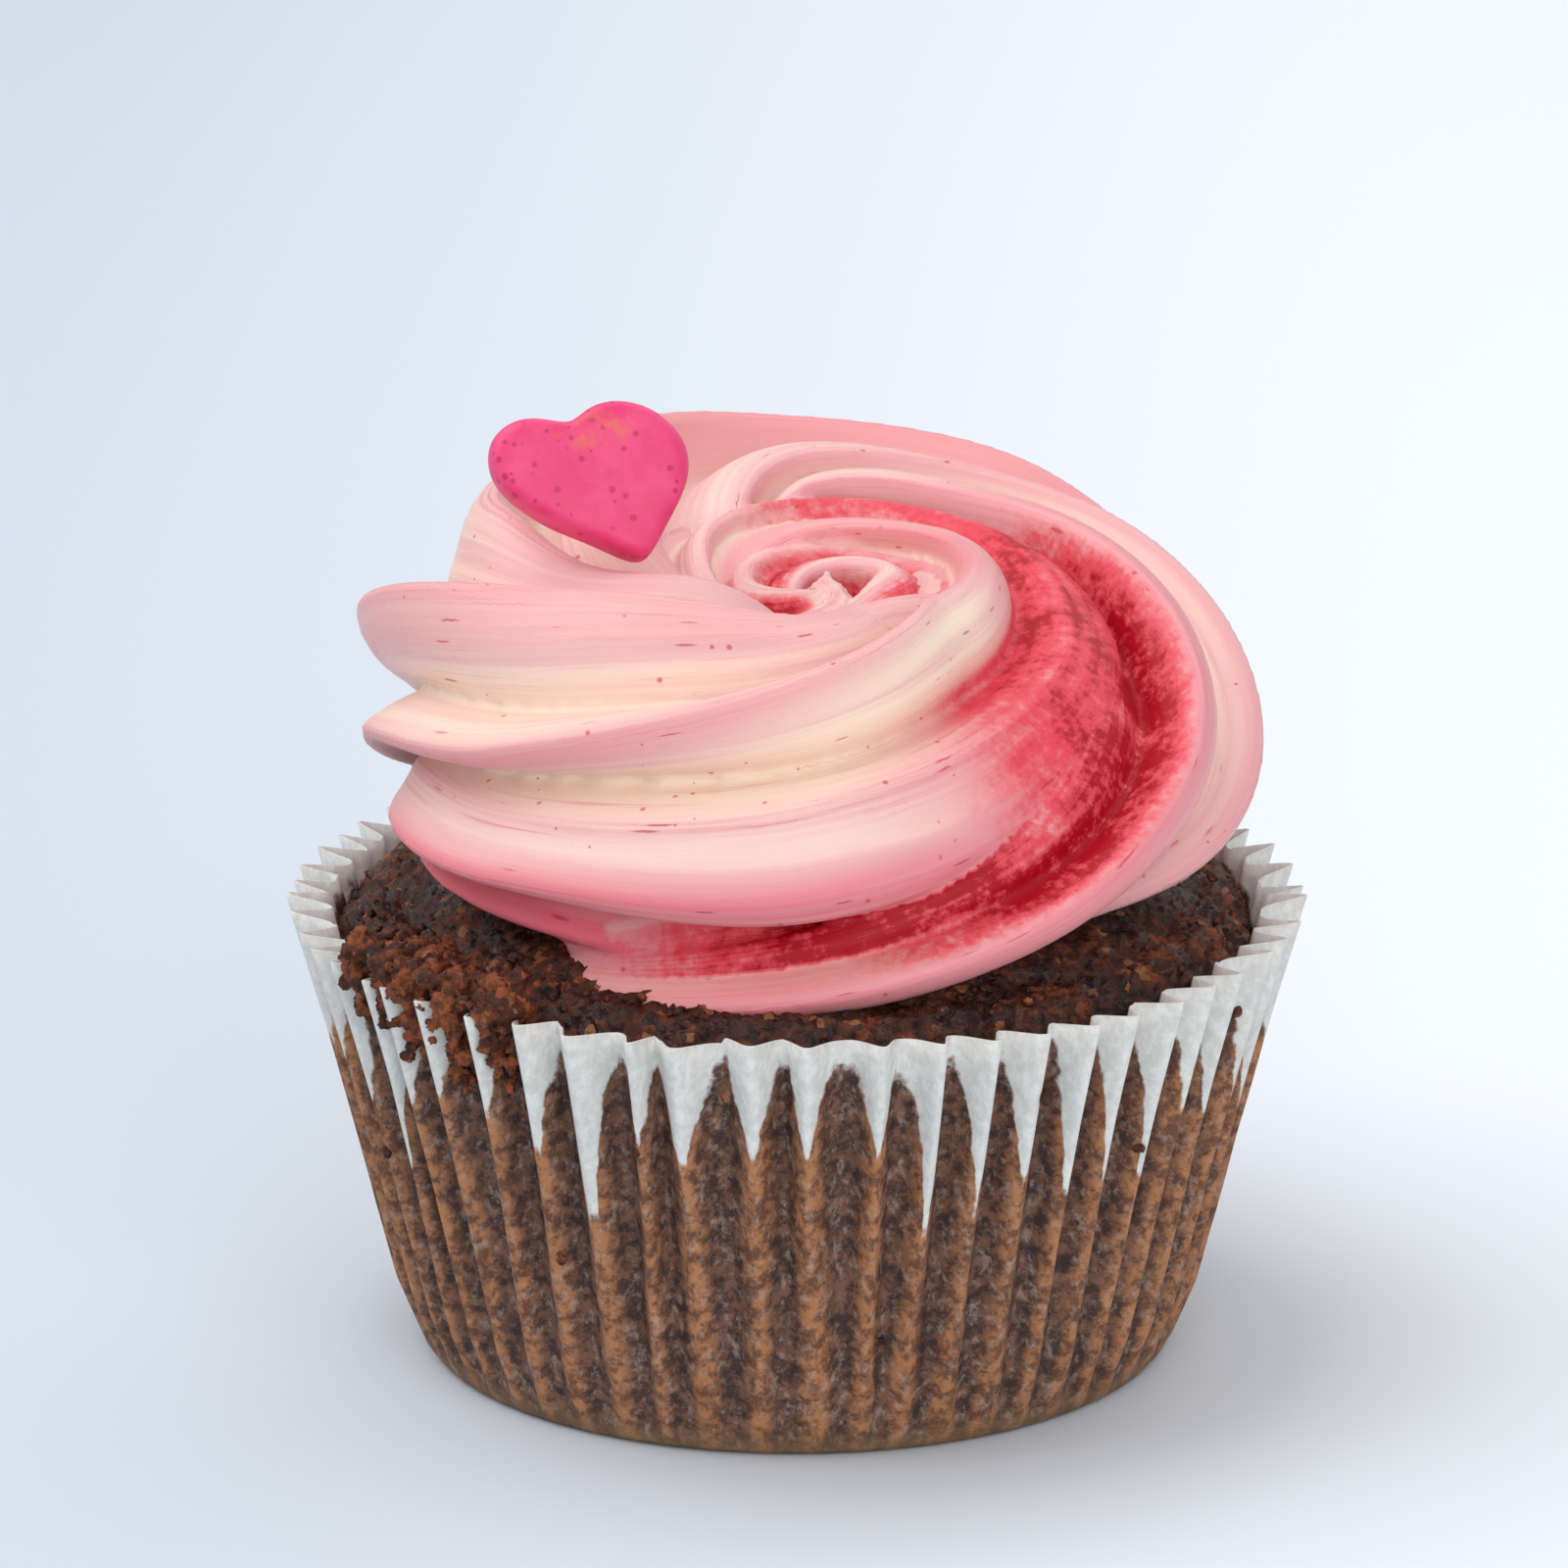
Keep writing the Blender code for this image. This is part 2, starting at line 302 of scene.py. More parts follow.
studio = {
    "cameraAt": (-0.00085, -0.658, 0.238), "pitch": 16.91, "lens": 239.9,
    "keyAt": (-0.5, 0.1, 0.9), "keySize": 1.1, "keyPower": 7.6,
    "fillAt": (0.25, -0.95, 0.5), "fillSize": 0.9, "fillPower": 5.2,
    "backAt": (0.4, 0.7, 0.8), "backSize": 0.8, "backPower": 2.0,
    "world": 0.49,
    # painted shade: the floor's colour at its left (painted darker) and right (painted lighter), and the span
    # that it changes over
    "floorShadedLeft": (198, 208, 220), "floorLitRight": (233, 238, 246), "floorShadeSpan": (-0.09, 0.075),
}


def buildStudio():
    camera = bpy.data.objects.new("camera", bpy.data.cameras.new("camera"))
    bpy.context.scene.collection.objects.link(camera)
    camera.location = studio["cameraAt"]
    camera.rotation_euler = (math.radians(90 - studio["pitch"]), 0, 0)
    camera.data.lens = studio["lens"]
    camera.data.sensor_width = 36
    camera.data.clip_start = 0.01
    camera.data.clip_end = 20
    bpy.context.scene.camera = camera
    bpy.context.scene.view_settings.view_transform = "Standard"

    for name in ("key", "fill", "back"):
        light = bpy.data.lights.new(name, "AREA")
        light.energy = studio[name + "Power"]
        light.size = studio[name + "Size"]
        lamp = bpy.data.objects.new(name, light)
        bpy.context.scene.collection.objects.link(lamp)
        place = Vector(studio[name + "At"])
        lamp.location = place
        lamp.rotation_euler = (place - Vector((0, 0, 0.03))).to_track_quat("Z", "Y").to_euler()

    world = bpy.data.worlds.new("studio")
    bpy.context.scene.world = world
    world.use_nodes = True
    back = world.node_tree.nodes["Background"]
    back.inputs["Color"].default_value = (1, 1, 1, 1)
    back.inputs["Strength"].default_value = studio["world"]

    deselectAll()
    bpy.ops.mesh.primitive_plane_add(size=6, location=(0, 1.2, 0))
    floor = added("floor")
    settle(floor)
    material, tree, shader = newMaterial("floorPaper")
    where = put(tree, "ShaderNodeTexCoord").outputs["Object"]
    across = put(tree, "ShaderNodeSeparateXYZ", Vector=where).outputs[0]
    # painted shade: the floor's colour runs from darker at the left to lighter at the right, standing in for
    # uneven light
    share = band(tree, across, *studio["floorShadeSpan"])
    color = mixColor(tree, share, srgb(*studio["floorShadedLeft"]), srgb(*studio["floorLitRight"]))
    tree.links.new(color, shader.inputs["Base Color"])
    shader.inputs["Roughness"].default_value = 0.85
    floor.data.materials.append(material)
    print("studio ready")


buildStudio()


paperCase = {
    "folds": 56, "perFold": 16, "thickness": 0.16, "seed": 7,
    # height, outer radius, fold depth
    "profile": [(0.0, 24.0, 0.0), (0.35, 24.75, 0.05), (1.2, 25.3, 0.25), (2.6, 25.9, 0.55),
                (5.0, 26.9, 0.95), (10.0, 28.2, 1.4), (16.0, 29.7, 1.9), (22.0, 31.3, 2.35),
                (27.0, 32.7, 2.75), (30.6, 33.75, 3.0)],
    "rings": 44,
    # how far a pleat may lean, its depth, the height and width of its white spike, and the rim's unevenness
    "leans": [0.0, 0.0, 0.0, 0.5, -0.55, 0.75, -0.8], "depths": (0.82, 1.0),
    "spikeTips": (17.0, 22.5), "spikeWidths": (-0.12, 0.16), "unevenRim": 0.16,
}


def foldEdges():
    # the azimuths of the valleys, each fold with its own width
    widths = np.random.default_rng(paperCase["seed"] + 1).uniform(0.78, 1.25, paperCase["folds"])
    edges = np.concatenate([[0], np.cumsum(widths)])
    return edges / edges[-1] * 2 * math.pi


def foldShape(angle, height):
    # each pleat has its own lean and depth; the wave runs from 0 on a crest to 1 in a valley
    folds = paperCase["folds"]
    rng = np.random.default_rng(paperCase["seed"])
    leans = rng.choice(paperCase["leans"], folds) + rng.normal(0, 0.08, folds)
    depths = rng.uniform(*paperCase["depths"], folds)
    tips = rng.uniform(*paperCase["spikeTips"], folds)
    widths = rng.uniform(*paperCase["spikeWidths"], folds)
    lifts = rng.normal(0, paperCase["unevenRim"], folds)
    edges = foldEdges()
    turn = np.mod(angle + 0.007 * ripples(angle, 5, 1, 3), 2 * math.pi)
    k = np.clip(np.searchsorted(edges, turn, side="right") - 1, 0, folds - 1)
    q = (turn - edges[k]) / (edges[k + 1] - edges[k])        # 0 valley, 0.5 crest, 1 valley
    lean = leans[k] * smoothStep(3.0, 26.0, height)
    warped = q + lean * q * (1 - q) * 0.95
    wave = (0.5 + 0.5 * np.cos(2 * math.pi * warped)) ** 0.9
    return wave, depths[k], tips[k], widths[k], lifts[k]


def buildPaperCase():
    count = paperCase["folds"] * paperCase["perFold"]
    profile = paperCase["profile"]
    deselectAll()
    bpy.ops.mesh.primitive_circle_add(vertices=count, radius=profile[0][1] * mm, fill_type="NOTHING")
    piece = added("fluted_paper_case")
    pick(piece)
    bpy.ops.object.mode_set(mode="EDIT")
    bpy.ops.mesh.select_all(action="SELECT")
    steps = paperCase["rings"]
    heights = [profile[-1][0] * (i / steps) ** 1.5 for i in range(1, steps + 1)]
    before = 0.0
    for height in heights:
        bpy.ops.mesh.extrude_region_move(TRANSFORM_OT_translate={"value": (0, 0, (height - before) * mm)})
        before = height
    bpy.ops.mesh.select_all(action="DESELECT")
    bpy.ops.object.mode_set(mode="OBJECT")

    co = points(piece) / mm
    z = co[:, 2]
    angle = np.arctan2(co[:, 1], co[:, 0])
    table = np.array(profile)
    radius = np.interp(z, table[:, 0], table[:, 1])
    depth = np.interp(z, table[:, 0], table[:, 2])
    wave, deep, tip, wide, lift = foldShape(angle, z)
    sway = ripples(angle, 21, 3, 9) * 0.25 * smoothStep(4, 30, z)
    r = radius - depth * (wave * deep + (1 - deep) * 0.35) - np.maximum(0, sway) * 0.6
    turn = angle + 0.0048 * ripples(angle, 33, 2, 8) * smoothStep(2, 30, z)
    top = smoothStep(22, 30.6, z)
    z = z + top * (lift * 0.7 + 0.28 * ripples(angle, 12, 2, 7) - 0.35 * wave) - 0.15 * top
    co = np.stack([r * np.cos(turn), r * np.sin(turn), z], axis=1)
    setPoints(piece, co * mm)
    setMask(piece, "valley", wave)
    setMask(piece, "spikeTip", tip)
    setMask(piece, "spikeWidth", wide)

    # the flat bottom: fill the first ring
    pick(piece)
    bpy.ops.object.mode_set(mode="EDIT")
    bpy.ops.mesh.select_mode(type="VERT")
    bpy.ops.object.mode_set(mode="OBJECT")
    for vertex in piece.data.vertices:
        vertex.select = vertex.co.z < 0.00001
    bpy.ops.object.mode_set(mode="EDIT")
    for shrink in (3 / 4, 2 / 3, 1 / 2):
        bpy.ops.mesh.extrude_region_move()
        bpy.ops.transform.resize(value=(shrink, shrink, 1))
    bpy.ops.mesh.merge(type="CENTER")
    faceOutwards(piece)
    wall = piece.modifiers.new("paper", "SOLIDIFY")
    wall.thickness = paperCase["thickness"] * mm
    wall.offset = -1
    applyAll(piece)
    return piece


def paperMaterial():
    material, tree, shader = newMaterial("greasedPaper")
    where = put(tree, "ShaderNodeTexCoord").outputs["Object"]
    height = put(tree, "ShaderNodeSeparateXYZ", Vector=where).outputs[2]
    height = calc(tree, "MULTIPLY", height, 1000.0)
    valley = attribute(tree, "valley")
    tip = attribute(tree, "spikeTip")
    wide = attribute(tree, "spikeWidth")

    # how high the grease has crept: nearly to the rim in a valley, down to the spike's tip on a crest
    creep = calc(tree, "POWER", calc(tree, "ADD", valley, wide, clamp=True), 0.62)
    frayed = calc(tree, "MULTIPLY", calc(tree, "SUBTRACT", noiseOf(tree, where, 700.0, 3.0, 0.6), 0.5), 3.2)
    slow = calc(tree, "MULTIPLY", calc(tree, "SUBTRACT", noiseOf(tree, where, 170.0, 2.0), 0.5), 4.5)
    limit = calc(tree, "ADD", calc(tree, "MULTIPLY_ADD", creep, calc(tree, "SUBTRACT", 28.6, tip), tip),
                 calc(tree, "ADD", frayed, slow))
    stain = band(tree, calc(tree, "SUBTRACT", limit, height), -0.35, 0.45)

    fibre = noiseOf(tree, stretched(tree, where, (1, 1, 0.75)), 1500.0, 4.0, 0.7)
    mottle = noiseOf(tree, where, 850.0, 5.0, 0.75)
    cloud = noiseOf(tree, where, 110.0, 3.0, 0.6)

    crest = calc(tree, "SUBTRACT", 1.0, valley)
    warm = mixColor(tree, band(tree, mottle, 0.40, 0.60), srgb(104, 68, 50), srgb(176, 120, 80))
    deepBrown = mixColor(tree, band(tree, mottle, 0.40, 0.62), srgb(60, 43, 40), srgb(122, 86, 68))
    onCrest = calc(tree, "ADD", calc(tree, "MULTIPLY", crest, 0.95),
                   calc(tree, "MULTIPLY", calc(tree, "SUBTRACT", cloud, 0.5), 1.2))
    brown = mixColor(tree, band(tree, onCrest, 0.25, 0.85), deepBrown, warm)
    pale = calc(tree, "MULTIPLY", band(tree, fibre, 0.5, 0.7), 0.5)
    brown = mixColor(tree, pale, brown, srgb(180, 160, 148))
    foot = band(tree, height, 0.4, 2.6, 0.55, 0.0)
    brown = mixColor(tree, foot, brown, srgb(132, 104, 72))

    white = mixColor(tree, band(tree, fibre, 0.35, 0.7), srgb(205, 205, 202), srgb(226, 226, 223))
    color = mixColor(tree, stain, white, brown)
    tree.links.new(color, shader.inputs["Base Color"])
    tree.links.new(calc(tree, "MULTIPLY_ADD", stain, -0.14, 0.78), shader.inputs["Roughness"])
    bump = put(tree, "ShaderNodeBump", Strength=0.35, Distance=0.0001, Height=fibre)
    tree.links.new(bump.outputs[0], shader.inputs["Normal"])
    shader.inputs["Subsurface Weight"].default_value = 0.1
    shader.inputs["Subsurface Scale"].default_value = 0.001
    shader.inputs["Specular IOR Level"].default_value = 0.3
    return material


casePiece = buildPaperCase()
finishPiece(casePiece, paperMaterial(), ["paper_case"])
print("paper case ready:", len(casePiece.data.polygons), "faces")


cake = {
    "foot": (23.2, 0.7),                                     # radius, height
    "sideHeights": (2, 6, 12, 18, 24, 28),
    # radius and height over the domed top
    "top": [(0.0, 36.0), (8.0, 35.8), (15.0, 35.0), (21.0, 33.5), (25.5, 31.9), (28.4, 30.5), (29.7, 28.8)],
    "voxel": 0.34,
    # how close together and how high: swells and crags; how close, how wide and how deep: pores
    "swells": (0.26, 0.6), "crags": (1.1, 0.42), "pores": (1.25, 0.36, 0.6),
}


def cakeSide(z):
    # the cake fills the case up to the inner folds
    table = np.array(paperCase["profile"])
    return np.interp(z, table[:, 0], table[:, 1]) - np.interp(z, table[:, 0], table[:, 2]) * 0.93 - 0.25


def cakeTopHeight(r):
    table = np.array(cake["top"])
    return np.interp(r, table[:, 0], table[:, 1])


def buildCake():
    beforeR, beforeZ = cake["foot"]
    deselectAll()
    bpy.ops.mesh.primitive_circle_add(vertices=96, radius=beforeR * mm, fill_type="NGON",
                                      location=(0, 0, beforeZ * mm))
    piece = added("chocolate_cake_body")
    settle(piece)
    pick(piece)
    bpy.ops.object.mode_set(mode="EDIT")
    bpy.ops.mesh.select_all(action="SELECT")
    side = [(float(cakeSide(z)), z) for z in cake["sideHeights"]]
    for r, z in side + list(reversed(cake["top"][1:-1])):
        bpy.ops.mesh.extrude_region_move(TRANSFORM_OT_translate={"value": (0, 0, (z - beforeZ) * mm)})
        bpy.ops.transform.resize(value=(r / beforeR, r / beforeR, 1))
        beforeR, beforeZ = r, z
    faceOutwards(piece)
    voxelRemesh(piece, cake["voxel"])
    applyAll(piece)

    co = points(piece) / mm
    r = np.hypot(co[:, 0], co[:, 1])
    up = smoothStep(26.0, 29.0, co[:, 2])
    out = smoothStep(22, 26.5, r)
    push = np.zeros(len(co))
    (swellOften, swellHigh), (cragOften, cragHigh) = cake["swells"], cake["crags"]
    poreOften, poreWide, poreDeep = cake["pores"]
    for i in np.nonzero(up * out > 0)[0]:
        p = Vector(co[i])
        swell = noise.noise(p * swellOften) * swellHigh
        crag = noise.fractal(p * cragOften + Vector((9, 4, 1)), 0.5, 2.1, 4) * cragHigh
        pore = noise.voronoi(p * poreOften + Vector((3, 3, 3)))[0][0]
        pit = poreDeep * max(0.0, poreWide - pore) / poreWide
        push[i] = swell + crag - pit - 0.5 * (1 - smoothStep(26.5, 28.0, r[i]))
    co = co + normalsOf(piece) * (push * up * out)[:, None]
    limit = np.where(co[:, 2] < 27.5, cakeSide(co[:, 2]), 40.0)
    r = np.hypot(co[:, 0], co[:, 1])
    shrink = np.minimum(1.0, limit / np.maximum(r, 1e-6))
    co[:, 0] *= shrink
    co[:, 1] *= shrink
    setPoints(piece, co * mm)
    return piece


def cakeMaterial(name, dry):
    material, tree, shader = newMaterial(name)
    where = put(tree, "ShaderNodeTexCoord").outputs["Object"]
    grain = useGroup(tree, grainGroup, Vector=where, Fine=1500.0)
    tone = calc(tree, "ADD", grain.outputs["Tone"], 0.12 * dry)
    patch = noiseOf(tree, where, 120.0, 3.0, 0.6)
    tone = calc(tree, "ADD", tone, calc(tree, "MULTIPLY", calc(tree, "SUBTRACT", patch, 0.5), 0.5))
    color = mixColor(tree, band(tree, tone, 0.44, 0.66), srgb(30, 11, 7), srgb(72, 34, 21))
    color = mixColor(tree, band(tree, tone, 0.64, 0.86), color, srgb(142, 74, 38))
    flecks = band(tree, grain.outputs["Grain"], 0.95, 0.98, 0.0, 0.45)
    color = mixColor(tree, flecks, color, srgb(186, 122, 74))
    tree.links.new(color, shader.inputs["Base Color"])
    damp = noiseOf(tree, where, 420.0, 4.0, 0.6)
    wet = calc(tree, "MULTIPLY_ADD", damp, 0.6, calc(tree, "MULTIPLY", tone, 0.5))
    rough = band(tree, wet, 0.50, 0.70, 0.1 + 0.5 * dry, 0.7)
    tree.links.new(rough, shader.inputs["Roughness"])
    bump = put(tree, "ShaderNodeBump", Strength=0.8, Distance=0.00035, Height=grain.outputs["Height"])
    tree.links.new(bump.outputs[0], shader.inputs["Normal"])
    shader.inputs["Specular IOR Level"].default_value = 0.35
    return material


cakePiece = buildCake()
finishPiece(cakePiece, cakeMaterial("moistCrumb", 0.0), ["cake"])
print("cake ready:", len(cakePiece.data.polygons), "faces")


crumbs = {
    # lumps spilling over the rim in each fold: azimuth from, to, how many, how far down, smallest and largest
    "spill": (209, 239, 70, 7.6, 0.32, 0.85),
    # a heap behind the rim: azimuth from, to, how many, radius from, to, smallest and largest
    "heap": (207, 236, 190, 27.5, 32.3, 0.3, 0.85),
    # bits on the cake: how many, smallest and largest
    "bits": (320, 0.12, 0.42),
    # azimuth, height and size of the few that cling to the paper
    "clinging": [(299.5, 25.6, 0.55), (238, 13.5, 0.3), (262, 27.0, 0.3), (281, 9.0, 0.25),
                 (316, 20.0, 0.35), (330, 27.5, 0.4), (251, 22.5, 0.3), (206, 17.0, 0.35)],
    "paleCrumb": (-26.3, -11.8, 1.1), "spillTop": 32.2, "seed": 8,
    # voxel size and roughness of each piece
    "spilled_crumbs": (0.19, 0.3), "crumb_bits": (0.14, 0.1), "pale_crumb": (0.16, 0.12),
}


def lumpsPiece(name, lumps):
    # balls of several sizes fused into craggy crumb; each lump is a place and a radius in mm
    voxel, rough = crumbs[name]
    deselectAll()
    made = []
    for place, radius in lumps:
        bpy.ops.mesh.primitive_ico_sphere_add(subdivisions=2, radius=radius * mm, location=Vector(place) * mm)
        made.append(bpy.context.active_object)
    deselectAll()
    for piece in made:
        piece.select_set(True)
    bpy.context.view_layer.objects.active = made[0]
    bpy.ops.object.join()
    piece = added(name)
    settle(piece)
    voxelRemesh(piece, voxel)
    applyAll(piece)
    co = points(piece) / mm
    push = [noise.fractal(Vector(p) * 1.9, 0.5, 2.1, 4) for p in co]
    setPoints(piece, (co + normalsOf(piece) * rough * np.array(push)[:, None]) * mm)
    return piece


def onCake(tree, x, y):
    place = tree.ray_cast(Vector((x, y, 60)) * mm, Vector((0, 0, -1)))[0]
    return place.z / mm if place else 30.0


def buildCrumbs():
    rng = random.Random(crumbs["seed"])
    tree = BVHTree.FromObject(cakePiece, bpy.context.evaluated_depsgraph_get())
    table = np.array(paperCase["profile"])
    spill = []
    first, last, count, down, small, large = crumbs["spill"]
    highest = crumbs["spillTop"]
    for valley in foldEdges():
        if not first < math.degrees(valley) < last:
            continue
        reach = down * rng.uniform(0.6, 1.1)
        for number in range(count):
            z = highest - reach * rng.random() ** 1.3
            outer, deep = np.interp(z, table[:, 0], table[:, 1]), np.interp(z, table[:, 0], table[:, 2])
            r = outer - deep * rng.uniform(0.2, 0.95)
            azimuth = valley + rng.gauss(0, 0.022)
            size = rng.uniform(small, large) * (1 - 0.45 * (highest - z) / reach)
            spill.append(((r * math.cos(azimuth), r * math.sin(azimuth), z), size))
    first, last, count, near, far, small, large = crumbs["heap"]
    for number in range(count):
        azimuth = math.radians(rng.uniform(first, last))
        r = rng.uniform(near, far)
        x, y = r * math.cos(azimuth), r * math.sin(azimuth)
        base = onCake(tree, x, y) if r < 30 else 30.5
        spill.append(((x, y, base + rng.uniform(-0.5, 0.6)), rng.uniform(small, large)))
    bits = []
    count, small, large = crumbs["bits"]
    for number in range(count):
        azimuth = math.radians(rng.choice([rng.uniform(0, 360), rng.gauss(216, 11)]))
        r = rng.uniform(25.5, 29.8)
        x, y = r * math.cos(azimuth), r * math.sin(azimuth)
        size = small + (large - small) * rng.random() ** 2
        bits.append(((x, y, onCake(tree, x, y) + size * 0.3), size))
    for azimuth, z, size in crumbs["clinging"]:
        turn = math.radians(azimuth)
        r = np.interp(z, table[:, 0], table[:, 1]) - 0.3
        for part in range(4):
            shift = Vector((rng.gauss(0, 0.5), rng.gauss(0, 0.5), rng.gauss(0, 0.5))) * size
            place = (r * math.cos(turn) + shift.x, r * math.sin(turn) + shift.y, z + shift.z)
            bits.append((place, size * rng.uniform(0.5, 1)))
    x, y, size = crumbs["paleCrumb"]
    z = onCake(tree, x, y) + 0.4
    pale = [((x + 0.55 * i, y - 0.2 * i, z + 0.25 * i), size * (0.62 - 0.1 * abs(i))) for i in (-1, 0, 1, 2)]
    return lumpsPiece("spilled_crumbs", spill), lumpsPiece("crumb_bits", bits), lumpsPiece("pale_crumb", pale)


def paleMaterial():
    material, tree, shader = newMaterial("paleCrumb")
    where = put(tree, "ShaderNodeTexCoord").outputs["Object"]
    cloud = noiseOf(tree, where, 900.0, 4.0)
    color = mixColor(tree, cloud, srgb(140, 104, 76), srgb(214, 188, 152))
    tree.links.new(color, shader.inputs["Base Color"])
    shader.inputs["Roughness"].default_value = 0.6
    return material


spillPiece, bitsPiece, palePiece = buildCrumbs()
finishPiece(spillPiece, cakeMaterial("dryCrumb", 0.9))
finishPiece(bitsPiece, cakeMaterial("looseCrumb", 0.3))
finishPiece(palePiece, paleMaterial())
print("crumbs ready:", len(spillPiece.data.polygons), "and", len(bitsPiece.data.polygons), "faces")


frosting = {
    # turning angle, path radius, height, rope radius, roll
    "mainRope": [
        (232, 23.2, 32.0, 1.5, -405), (240, 23.2, 32.5, 3.5, -400), (270, 22.4, 33.6, 6.2, -378),
        (300, 21.2, 35.4, 8.0, -358), (330, 20.2, 37.4, 9.6, -326), (360, 19.2, 39.5, 10.8, -296),
        (405, 20.0, 43.0, 11.6, -260), (450, 20.0, 45.5, 12.0, -237), (495, 19.0, 46.0, 12.0, -170),
        (540, 18.2, 46.0, 12.2, -95), (585, 16.8, 45.0, 12.0, -52), (630, 14.0, 43.2, 11.8, -16),
        (675, 9.6, 43.8, 9.6, 15), (720, 10.2, 46.8, 6.8, 28), (765, 11.6, 49.0, 4.8, 55),
        (810, 11.2, 49.7, 4.4, 75), (855, 9.8, 49.8, 4.2, 100), (900, 8.4, 49.0, 4.0, 130),
        (945, 7.0, 48.0, 3.4, 160),
    ],
    # how far each rib of the main rope leans from its even place, in degrees
    "ribLean": [
        [(232, 0), (450, 0), (495, 25), (540, 50), (585, 35), (630, 21), (675, 2), (945, 0)],
        [(232, 0), (450, 0), (540, 11), (585, -3), (630, 2), (945, 0)],
        [(232, 0), (450, 0), (540, -3), (585, 2), (630, 7), (675, 0), (945, 0)],
        [(232, 0), (450, 0), (480, 25), (500, 38), (520, 20), (540, -5), (630, 0), (945, 0)],
        [(232, 0), (360, 0), (405, 42), (425, 50), (450, 49), (495, 25), (540, 0), (945, 0)],
        [(232, 0), (360, 0), (405, 20), (450, 37), (495, 58), (540, 80), (585, 58), (630, 19), (675, 0),
         (945, 0)],
    ],
    "lastTurn": [
        (600, 9.0, 47.0, 5.0, 60), (660, 7.4, 47.6, 4.8, 80), (720, 6.0, 48.2, 4.6, 40),
        (810, 5.0, 48.4, 4.3, 60), (900, 3.8, 48.2, 3.8, 90), (990, 2.4, 48.4, 3.4, 120),
        (1060, 1.0, 49.6, 2.4, 160), (1100, 0.3, 52.2, 0.7, 180),
    ],
    "depth": 0.42, "grooveAt": 0.3, "centre": (1.0, 0.8), "voxel": 0.36,
    # where the heart presses, its reach and depth; the sagging foot's azimuth, how far out, and its top
    "press": ((-12.5, -2.5), 6.5, 3.6), "foot": (-162, 3.6, 42.0),
    # the cone that fills the middle: bottom and top radius, bottom and top height
    "core": (20.5, 11.0, 30.0, 46.0),
    # swellings: rib, reach across in ribs, turn, reach along, how far out
    "swells": [
        (5.56, 0.30, 640, 60, 5.2), (5.62, 0.28, 710, 50, 3.0), (5.5, 0.35, 570, 40, 2.2),
        (0.0, 0.30, 548, 42, -3.0), (5.0, 0.35, 545, 40, -0.5), (5.0, 0.40, 612, 42, 1.7),
        (2.0, 0.42, 625, 45, -2.0), (2.62, 0.26, 525, 42, -1.6), (3.0, 0.40, 500, 35, -0.8),
        (5.0, 0.30, 445, 40, -2.0),
        (0.0, 0.30, 440, 40, -1.4), (4.0, 0.35, 422, 26, 1.8), (1.0, 0.55, 265, 55, -3.0),
        (5.0, 0.50, 312, 28, -4.2), (4.2, 0.50, 325, 30, -3.0),
    ],
}


def ribShape(q, depth):
    groove = frosting["grooveAt"]
    above = 0.5 + 0.5 * np.cos(np.pi * np.minimum(q / groove, 1))
    below = (1 - np.clip((1 - q) / (1 - groove), 0, 1) ** 1.5) ** 0.9
    return 1 - depth * (1 - np.where(q < groove, above, below))


def sagged(x, y, z):
    # the heart presses the rib under it, and the foot sags out over the cake
    (px, py), reach, depth = frosting["press"]
    near = np.exp(-((x - px) ** 2 + (y - py) ** 2) / reach**2)
    z = z - depth * near * np.clip((z - 44) / 6, 0, 1)
    toward, spread, below = frosting["foot"]
    low = np.clip((below - z) / 8, 0, 1)
    facing = np.maximum(0, np.cos((np.arctan2(y, x) - math.radians(toward)) * 1.1)) ** 2
    out = 1 + spread * low * facing / np.maximum(8.0, np.hypot(x, y))
    return np.stack([x * out, y * out, z], axis=-1)


def ropeGrid(stations, ribs, rings, around, seed, leans=(), swells=()):
    turn = np.linspace(stations[0][0], stations[-1][0], rings)
    path, height, radius, roll = fromStations(stations, turn).T
    along, rib = np.meshgrid(turn, np.arange(around) * ribs / around, indexing="ij")
    lips = roll[:, None] + 360 / ribs * np.arange(ribs + 1)[None, :]
    for number, lean in enumerate(leans):
        lips[:, number] += fromStations(lean, turn)[:, 0]
    lips[:, ribs] = lips[:, 0] + 360
    low = np.floor(rib[0]).astype(int)
    q = rib - low[None, :]
    angle = np.radians(lips[:, low] * (1 - q) + lips[:, low + 1] * q)
    shape = ribShape(q, frosting["depth"])
    # fine drawn lines along the rope, and a slow unevenness
    rng = np.random.default_rng(seed)
    ropeAngle = rib * 2 * np.pi / ribs
    lines = np.zeros_like(rib)
    for m in range(18, 64, 3):
        phase = rng.uniform(0, 2 * math.pi)
        wander = np.radians(along) * rng.normal(0, 0.5)
        fade = 0.5 + 0.5 * np.sin(np.radians(along) * rng.uniform(0.7, 2.2) + rng.uniform(0, 6))
        lines += fade * np.sin(m * ropeAngle + phase + wander) * rng.uniform(0.5, 1.0)
    slow = np.zeros_like(rib)
    for m in range(1, 6):
        slow += np.sin(m * ropeAngle + np.radians(along) * rng.normal(0, 2.5) + rng.uniform(0, 6)) / 5
    reach = radius[:, None] * (shape + 0.012 * slow) + 0.035 * lines * np.minimum(1, radius[:, None] / 6)
    for at, across, when, length, out in swells:
        reach += out * np.exp(-((ribGap(rib, at, ribs) / across) ** 2) - ((along - when) / length) ** 2)
    r = path[:, None] + reach * np.cos(angle)
    z = height[:, None] + reach * np.sin(angle)
    cx, cy = frosting["centre"]
    grid = sagged(cx + r * np.cos(np.radians(along)), cy + r * np.sin(np.radians(along)), z)
    return grid, rib, along


